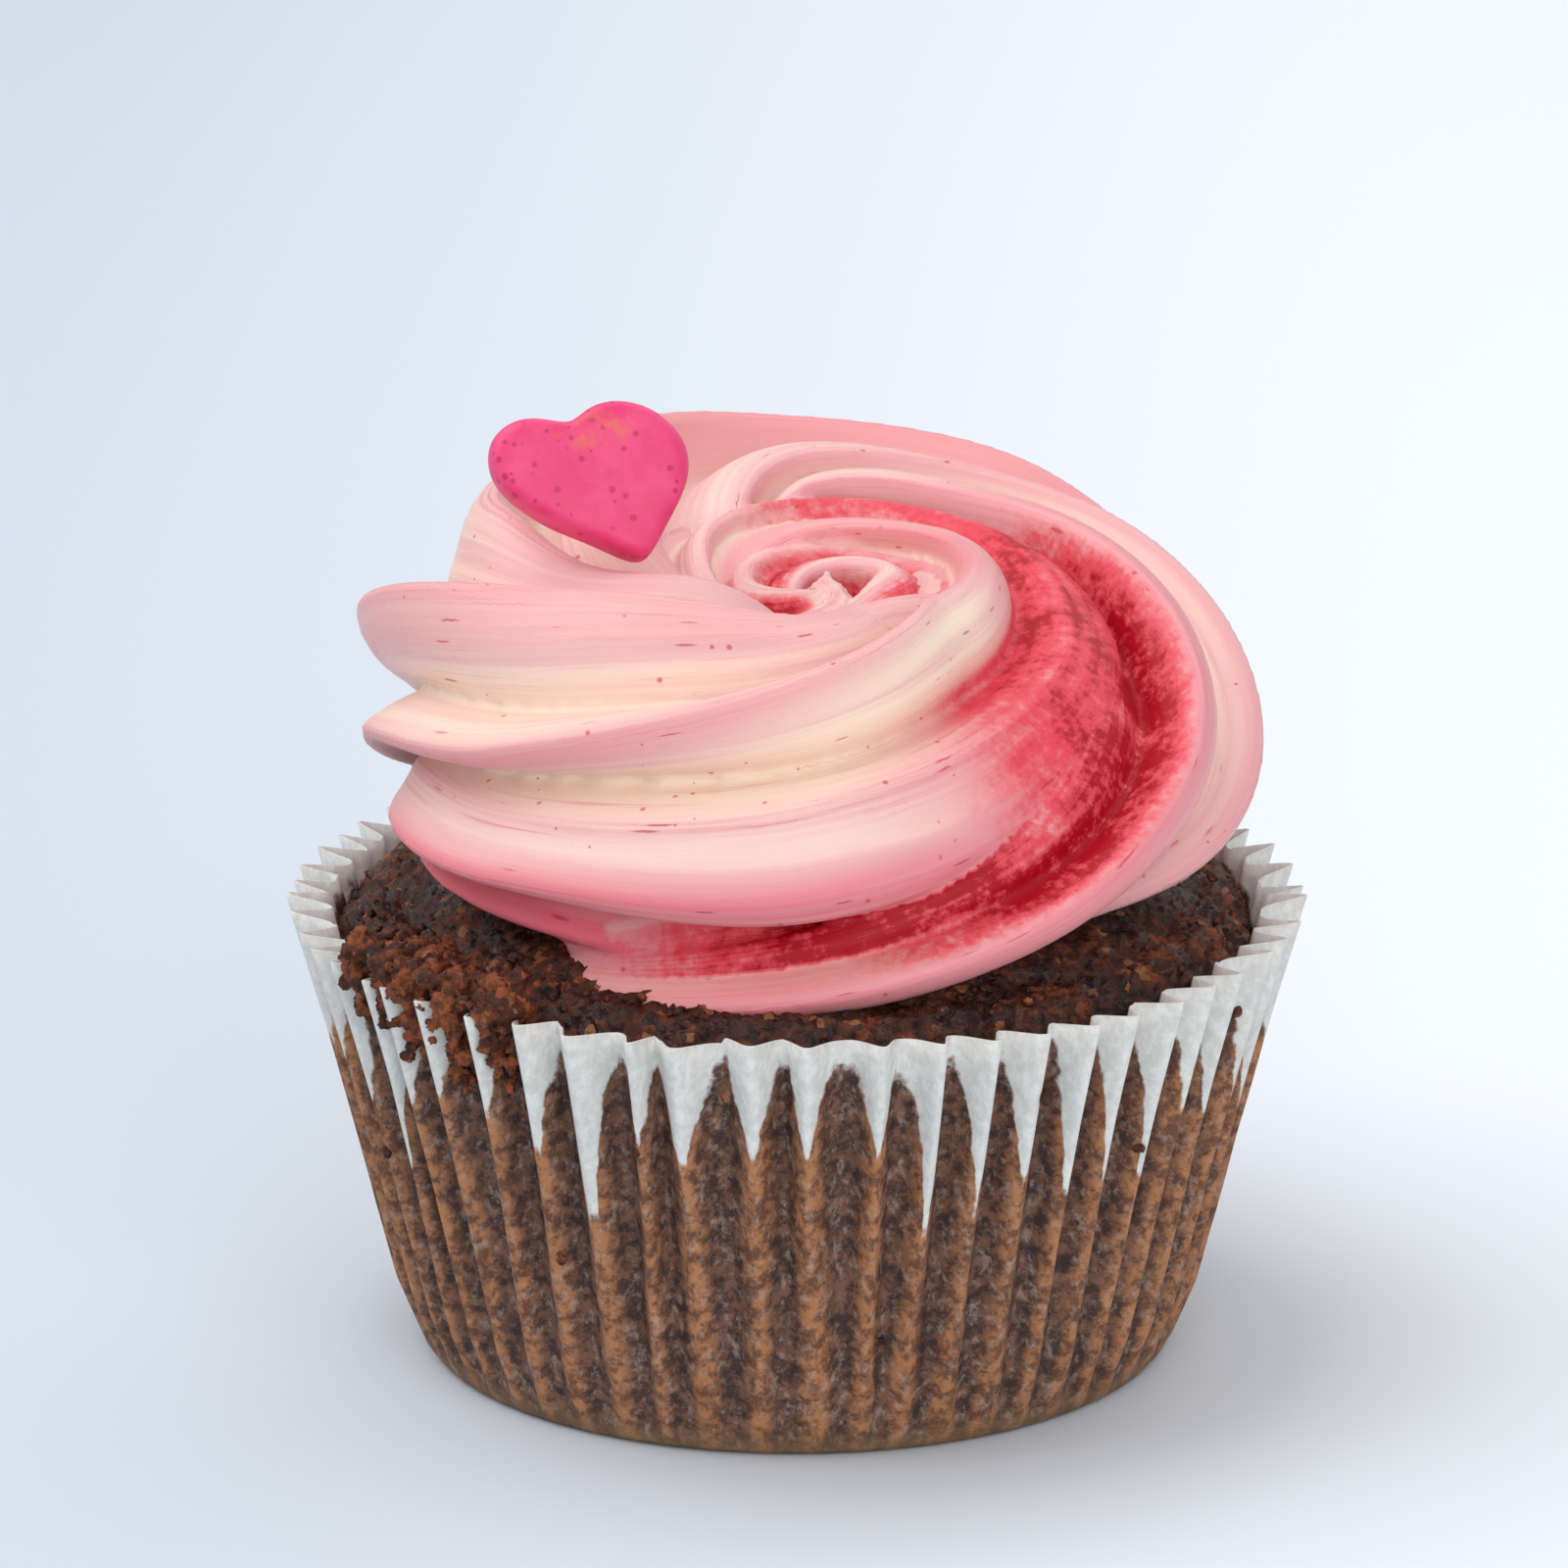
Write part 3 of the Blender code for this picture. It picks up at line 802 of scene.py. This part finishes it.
def gridFaces(rings, around, start):
    i = np.arange(rings - 1)[:, None] * around
    j = np.arange(around)[None, :]
    k = (j + 1) % around
    quads = np.stack([i + j, i + around + j, i + around + k, i + k], axis=-1).reshape(-1, 4) + start
    return quads


def buildFrosting():
    ropes = [
        ropeGrid(frosting["mainRope"], 6, 900, 300, 11, frosting["ribLean"], frosting["swells"]),
        ropeGrid(frosting["lastTurn"], 5, 500, 160, 12),
    ]
    corners, faces, start = [], [], 0
    for grid, rib, turn in ropes:
        rings, around = grid.shape[:2]
        corners.append(grid.reshape(-1, 3))
        faces += gridFaces(rings, around, start).tolist()
        faces.append(list(range(start, start + around)))
        last = start + (rings - 1) * around
        faces.append(list(range(last + around - 1, last - 1, -1)))
        start += rings * around
    mesh = bpy.data.meshes.new("piped_swirl")
    mesh.from_pydata((np.concatenate(corners) * mm).tolist(), [], faces)
    piece = bpy.data.objects.new("piped_swirl", mesh)
    bpy.context.scene.collection.objects.link(piece)
    deselectAll()
    bottom, top, low, high = frosting["core"]
    cx, cy = frosting["centre"]
    bpy.ops.mesh.primitive_cone_add(vertices=96, radius1=bottom * mm, radius2=top * mm,
                                    depth=(high - low) * mm,
                                    location=(cx * mm, cy * mm, (low + high) / 2 * mm))
    core = bpy.context.active_object
    settle(core)
    pick(piece)
    core.select_set(True)
    bpy.ops.object.join()
    voxelRemesh(piece, frosting["voxel"])
    soften = piece.modifiers.new("soften", "SMOOTH")
    soften.factor = 0.5
    soften.iterations = 4
    applyAll(piece)
    carryFlow(piece, ropes)
    return piece


def carryFlow(piece, ropes):
    # each point takes its place along and round the rope from the nearest rope face
    co = points(piece) / mm
    best = np.full(len(co), 1e9)
    ribs, turns, part = np.zeros(len(co)), np.zeros(len(co)), np.zeros(len(co))
    for number, (grid, rib, turn) in enumerate(ropes):
        rings, around = grid.shape[:2]
        tree = BVHTree.FromPolygons(grid.reshape(-1, 3).tolist(), gridFaces(rings, around, 0).tolist())
        index = np.full(len(co), -1)
        far = np.full(len(co), 1e9)
        for n, p in enumerate(co):
            face, distance = tree.find_nearest(p, 3.0)[2:]
            if face is not None:
                index[n] = face
                far[n] = distance
        own = np.nonzero((index >= 0) & (far < best - 0.02))[0]
        i, j = index[own] // around, index[own] % around
        k = (j + 1) % around
        p00, p10, p01 = grid[i, j], grid[i + 1, j], grid[i, k]
        e1, e2, d = p10 - p00, p01 - p00, co[own] - p00
        u = np.clip((d * e1).sum(1) / np.maximum((e1 * e1).sum(1), 1e-9), 0, 1)
        v = np.clip((d * e2).sum(1) / np.maximum((e2 * e2).sum(1), 1e-9), 0, 1)
        step = np.mod(rib[i, k] - rib[i, j] + 2.5, 5 if number == 1 else 6) - 2.5
        ribs[own] = rib[i, j] + step * v
        turns[own] = turn[i, j] + (turn[1, 0] - turn[0, 0]) * u
        part[own] = number
        best[own] = far[own]
    main = part != 1
    ropeAngle = 2 * np.pi * ribs / np.where(main, 6, 5)
    flow = np.stack([np.cos(ropeAngle), np.sin(ropeAngle), turns / 360 + np.where(main, 0, 4)], axis=1)
    setFlow(piece, "flow", flow)
    setMask(piece, "rib", ribs)
    setMask(piece, "turn", turns)
    setMask(piece, "mainPart", main.astype(float))
    paintMasks(piece, ribs, turns, main)


def ribGap(rib, at, count):
    # distance round the rope, in ribs
    return np.abs(np.mod(rib - at + count / 2, count) - count / 2)


def paintMasks(piece, rib, turn, main):
    q = np.mod(rib, 1.0)
    lip = np.exp(-((np.minimum(q, 1 - q)) / 0.12) ** 2)
    groove = np.exp(-((q - frosting["grooveAt"]) / 0.15) ** 2)
    setMask(piece, "lip", lip)
    setMask(piece, "groove", groove)
    for name, spots in colourSpots.items():
        total = np.zeros(len(rib))
        for first, last, low, high, strength in spots:
            along = smoothStep(first - 24, first + 24, turn) * (1 - smoothStep(last - 24, last + 24, turn))
            half = (high - low) / 2
            gap = ribGap(rib, (low + high) / 2, 6)
            across = 1 - smoothStep(half - 0.13, half + 0.13, gap)
            total = np.maximum(total, strength * along * across * main)
        if name == "crimson":
            inner = smoothStep(650, 700, turn) * (1 - smoothStep(960, 1010, turn)) * (1 - main)
            total = np.maximum(total, 1.3 * inner * np.exp(-((q - 0.42) / 0.3) ** 2))
        setMask(piece, name, total)


colourSpots = {
    # first and last turning angle, lowest and highest rib, strength
    "crimson": [(250, 310, 0.3, 1.7, 1.35), (300, 350, 0.95, 2.4, 1.0), (285, 400, 0.08, 0.6, 1.4),
                (306, 344, 0.45, 1.05, 1.3), (664, 770, 4.6, 6.4, 1.0), (650, 700, 5.2, 5.6, 0.6),
                (755, 835, 5.5, 6.3, 0.7), (590, 650, 4.95, 5.2, 0.4)],
    "cream": [(620, 690, 0.35, 0.9, 1.0), (545, 600, 1.1, 1.45, 0.9), (560, 640, 0.05, 0.4, 0.8),
              (280, 420, 4.3, 4.9, 0.35), (460, 540, 2.4, 2.9, 0.7)],
    "rose": [(540, 665, 4.85, 5.72, 1.0), (655, 780, 5.15, 6.45, 1.0), (200, 285, 5.0, 8.4, 0.75),
             (240, 330, 5.2, 6.1, 0.6),
             (300, 420, 5.6, 6.0, 0.5), (380, 500, 3.3, 4.2, 0.5), (540, 640, 0.72, 0.98, 0.55),
             (530, 700, 1.6, 1.98, 0.35), (700, 900, 0.4, 1.2, 0.4)],
}


def frostingMaterial():
    material, tree, shader = newMaterial("buttercream")
    where = put(tree, "ShaderNodeTexCoord").outputs["Object"]
    flow = attribute(tree, "flow", "Vector")
    broad = noiseOf(tree, stretched(tree, flow, (2.2, 2.2, 1.6)), 1.0, 3.0, 0.5)
    streak = noiseOf(tree, stretched(tree, flow, (9, 9, 2.6)), 1.0, 5.0, 0.6)
    fine = noiseOf(tree, stretched(tree, flow, (34, 34, 8)), 1.0, 4.0, 0.65)
    grit = noiseOf(tree, where, 1500.0, 3.0, 0.6)

    palePink = srgb(229, 174, 177)
    paleCream = srgb(242, 212, 200)
    cream = srgb(251, 230, 208)
    rosePink = srgb(232, 112, 126)
    coral = srgb(222, 60, 78)
    red = srgb(172, 4, 28)

    wander = calc(tree, "MULTIPLY_ADD", broad, 0.55, calc(tree, "MULTIPLY", streak, 0.45))
    color = mixColor(tree, band(tree, wander, 0.40, 0.62), palePink, paleCream)
    inGroove = calc(tree, "MULTIPLY", attribute(tree, "groove"), band(tree, streak, 0.30, 0.62, 0.0, 0.6))
    color = mixColor(tree, inGroove, color, cream)
    onLip = calc(tree, "MULTIPLY", attribute(tree, "lip"), band(tree, fine, 0.3, 0.7, 0.25, 0.75))
    color = mixColor(tree, onLip, color, srgb(226, 138, 150))
    creamShare = calc(tree, "MULTIPLY", attribute(tree, "cream"), band(tree, streak, 0.25, 0.55, 0.35, 1.0))
    color = mixColor(tree, creamShare, color, cream)
    pinkShare = calc(tree, "MULTIPLY", attribute(tree, "rose"), band(tree, streak, 0.3, 0.62, 0.35, 1.0))
    color = mixColor(tree, pinkShare, color, rosePink)
    # thin rose threads drawn along the flow
    threads = calc(tree, "MULTIPLY", band(tree, fine, 0.57, 0.70), band(tree, broad, 0.42, 0.60, 0.0, 0.45))
    color = mixColor(tree, threads, color, srgb(214, 104, 120))
    # the deep colour: coral first, crimson where it's thickest
    blotch = noiseOf(tree, where, 300.0, 5.0, 0.7)
    ground = calc(tree, "MULTIPLY_ADD", streak, 0.9, calc(tree, "MULTIPLY_ADD", grit, 0.8, -0.82))
    ground = calc(tree, "MULTIPLY_ADD", blotch, 1.3, ground)
    deep = calc(tree, "MULTIPLY", attribute(tree, "crimson"), ground)
    color = mixColor(tree, band(tree, deep, 0.08, 0.62, 0.0, 0.92), color, coral)
    color = mixColor(tree, band(tree, deep, 0.58, 0.95), color, red)

    specks = useGroup(tree, specksGroup, Vector=where, Scale=900.0, Share=0.16, Size=0.22)
    along = stretched(tree, flow, (24, 24, 40))
    dashes = useGroup(tree, specksGroup, Vector=along, Scale=1.0, Share=0.14, Size=0.26)
    marks = calc(tree, "MAXIMUM", specks.outputs[0], dashes.outputs[0])
    color = mixColor(tree, calc(tree, "MULTIPLY", marks, 0.65), color, srgb(188, 40, 58))
    tree.links.new(color, shader.inputs["Base Color"])
    tree.links.new(band(tree, streak, 0.3, 0.7, 0.34, 0.5), shader.inputs["Roughness"])
    height = calc(tree, "MULTIPLY_ADD", fine, 0.8, calc(tree, "MULTIPLY", grit, 0.3))
    bump = put(tree, "ShaderNodeBump", Strength=0.3, Distance=0.00025, Height=height)
    tree.links.new(bump.outputs[0], shader.inputs["Normal"])
    shader.inputs["Specular IOR Level"].default_value = 0.25
    shader.inputs["Subsurface Weight"].default_value = 0.1
    shader.inputs["Subsurface Scale"].default_value = 0.001
    shader.inputs["Subsurface Radius"].default_value = (1.0, 0.45, 0.35)
    return material


frostingPiece = buildFrosting()
finishPiece(frostingPiece, frostingMaterial(), ["frosting"])
print("frosting ready:", len(frostingPiece.data.polygons), "faces")


heart = {
    "size": (12.7, 11.6, 3.4), "soft": 0.44, "shear": 0.26, "place": (-12.9, -2.6, 59.3),
    "lean": 62.0, "turn": 12.0, "roll": 9.0, "seed": 8,
}


def heartOutline(count):
    # a heart curve softened toward a circle
    width, height = heart["size"][:2]
    soft = heart["soft"]
    outline = []
    for i in range(count):
        t = 2 * math.pi * (i + 0.5) / count
        x = (1 - soft) * 16 * math.sin(t) ** 3 + soft * 15 * math.sin(t)
        y = (1 - soft) * (13 * math.cos(t) - 5 * math.cos(2 * t) - 2 * math.cos(3 * t) - math.cos(4 * t))
        y += soft * 14 * math.cos(t) + 1.5
        y *= height / 29.0
        outline.append((-x * width / 31.4 - heart["shear"] * y, y))
    return outline


def buildHeart():
    # a disc, pulled to a heart, thickened, its edge rounded over
    count = 96
    deselectAll()
    bpy.ops.mesh.primitive_circle_add(vertices=count, radius=1 * mm, fill_type="NOTHING")
    piece = added("pink_sugar_heart")
    outline = heartOutline(count)
    for vertex, (x, y) in zip(piece.data.vertices, outline):
        vertex.co = (x * mm, y * mm, 0)
    pick(piece)
    bpy.ops.object.mode_set(mode="EDIT")
    bpy.ops.mesh.select_all(action="SELECT")
    half = heart["size"][2] / 2
    # up the side and in over the face, in shrinking rings
    rings = [(1.0, 0.45 * half), (0.97, 0.75 * half), (0.91, 0.93 * half), (0.82, 1.0 * half),
             (0.66, 1.03 * half), (0.5, 1.04 * half), (0.34, 1.05 * half), (0.18, 1.05 * half)]
    before, level = 1.0, 0.0
    for size, z in rings:
        bpy.ops.mesh.extrude_region_move(TRANSFORM_OT_translate={"value": (0, 0, (z - level) * mm)})
        bpy.ops.transform.resize(value=(size / before, size / before, 1), center_override=(0, 0, 0))
        before, level = size, z
    bpy.ops.mesh.merge(type="CENTER")
    bpy.ops.object.mode_set(mode="OBJECT")
    mirror = piece.modifiers.new("back", "MIRROR")
    mirror.use_axis = (False, False, True)
    mirror.merge_threshold = 0.00001
    fine = piece.modifiers.new("fine", "SUBSURF")
    fine.levels = fine.render_levels = 1
    applyAll(piece)
    faceOutwards(piece)
    # noise_vector follows the clock unless it is seeded
    noise.seed_set(heart["seed"])
    co = points(piece)
    for i, p in enumerate(co):
        co[i] += np.array(noise.noise_vector(Vector(p) * 260)) * 0.00018
    setPoints(piece, co)
    setFlow(piece, "facePlace", co / mm)
    lean = Euler((math.radians(heart["lean"]), 0, math.radians(heart["turn"]))).to_matrix().to_4x4()
    roll = Euler((0, 0, math.radians(heart["roll"]))).to_matrix().to_4x4()
    piece.matrix_world = Matrix.Translation(Vector(heart["place"]) * mm) @ lean @ roll
    settle(piece)
    return piece


def heartMaterial():
    material, tree, shader = newMaterial("pressedSugar")
    where = put(tree, "ShaderNodeTexCoord").outputs["Object"]
    face = attribute(tree, "facePlace", "Vector")
    cloud = noiseOf(tree, where, 300.0, 3.0)
    color = mixColor(tree, band(tree, cloud, 0.35, 0.65), srgb(226, 50, 114), srgb(236, 76, 132))
    dots = useGroup(tree, specksGroup, Vector=where, Scale=1400.0, Share=0.5, Size=0.42)
    color = mixColor(tree, calc(tree, "MULTIPLY", dots.outputs[0], 0.75), color, srgb(186, 16, 78))
    # an orange smear across the cleft
    spot = put(tree, "ShaderNodeMapping", Vector=face, Location=(-0.6, -3.0, 0)).outputs[0]
    away = put(tree, "ShaderNodeVectorMath", Vector=stretched(tree, spot, (0.26, 0.62, 0)))
    away.operation = "LENGTH"
    near = band(tree, away.outputs["Value"], 0.35, 1.0, 1.0, 0.0)
    broken = band(tree, noiseOf(tree, where, 900.0, 5.0, 0.7), 0.42, 0.62)
    smear = calc(tree, "MULTIPLY", near, broken)
    color = mixColor(tree, calc(tree, "MULTIPLY", smear, 0.7), color, srgb(226, 110, 70))
    tree.links.new(color, shader.inputs["Base Color"])
    tree.links.new(band(tree, cloud, 0.3, 0.7, 0.42, 0.55), shader.inputs["Roughness"])
    grit = noiseOf(tree, where, 2200.0, 3.0)
    bump = put(tree, "ShaderNodeBump", Strength=0.2, Distance=0.0001, Height=grit)
    tree.links.new(bump.outputs[0], shader.inputs["Normal"])
    shader.inputs["Subsurface Weight"].default_value = 0.15
    shader.inputs["Subsurface Scale"].default_value = 0.0015
    return material


heartPiece = buildHeart()
finishPiece(heartPiece, heartMaterial(), ["sugar_heart"])
print("heart ready:", len(heartPiece.data.polygons), "faces")
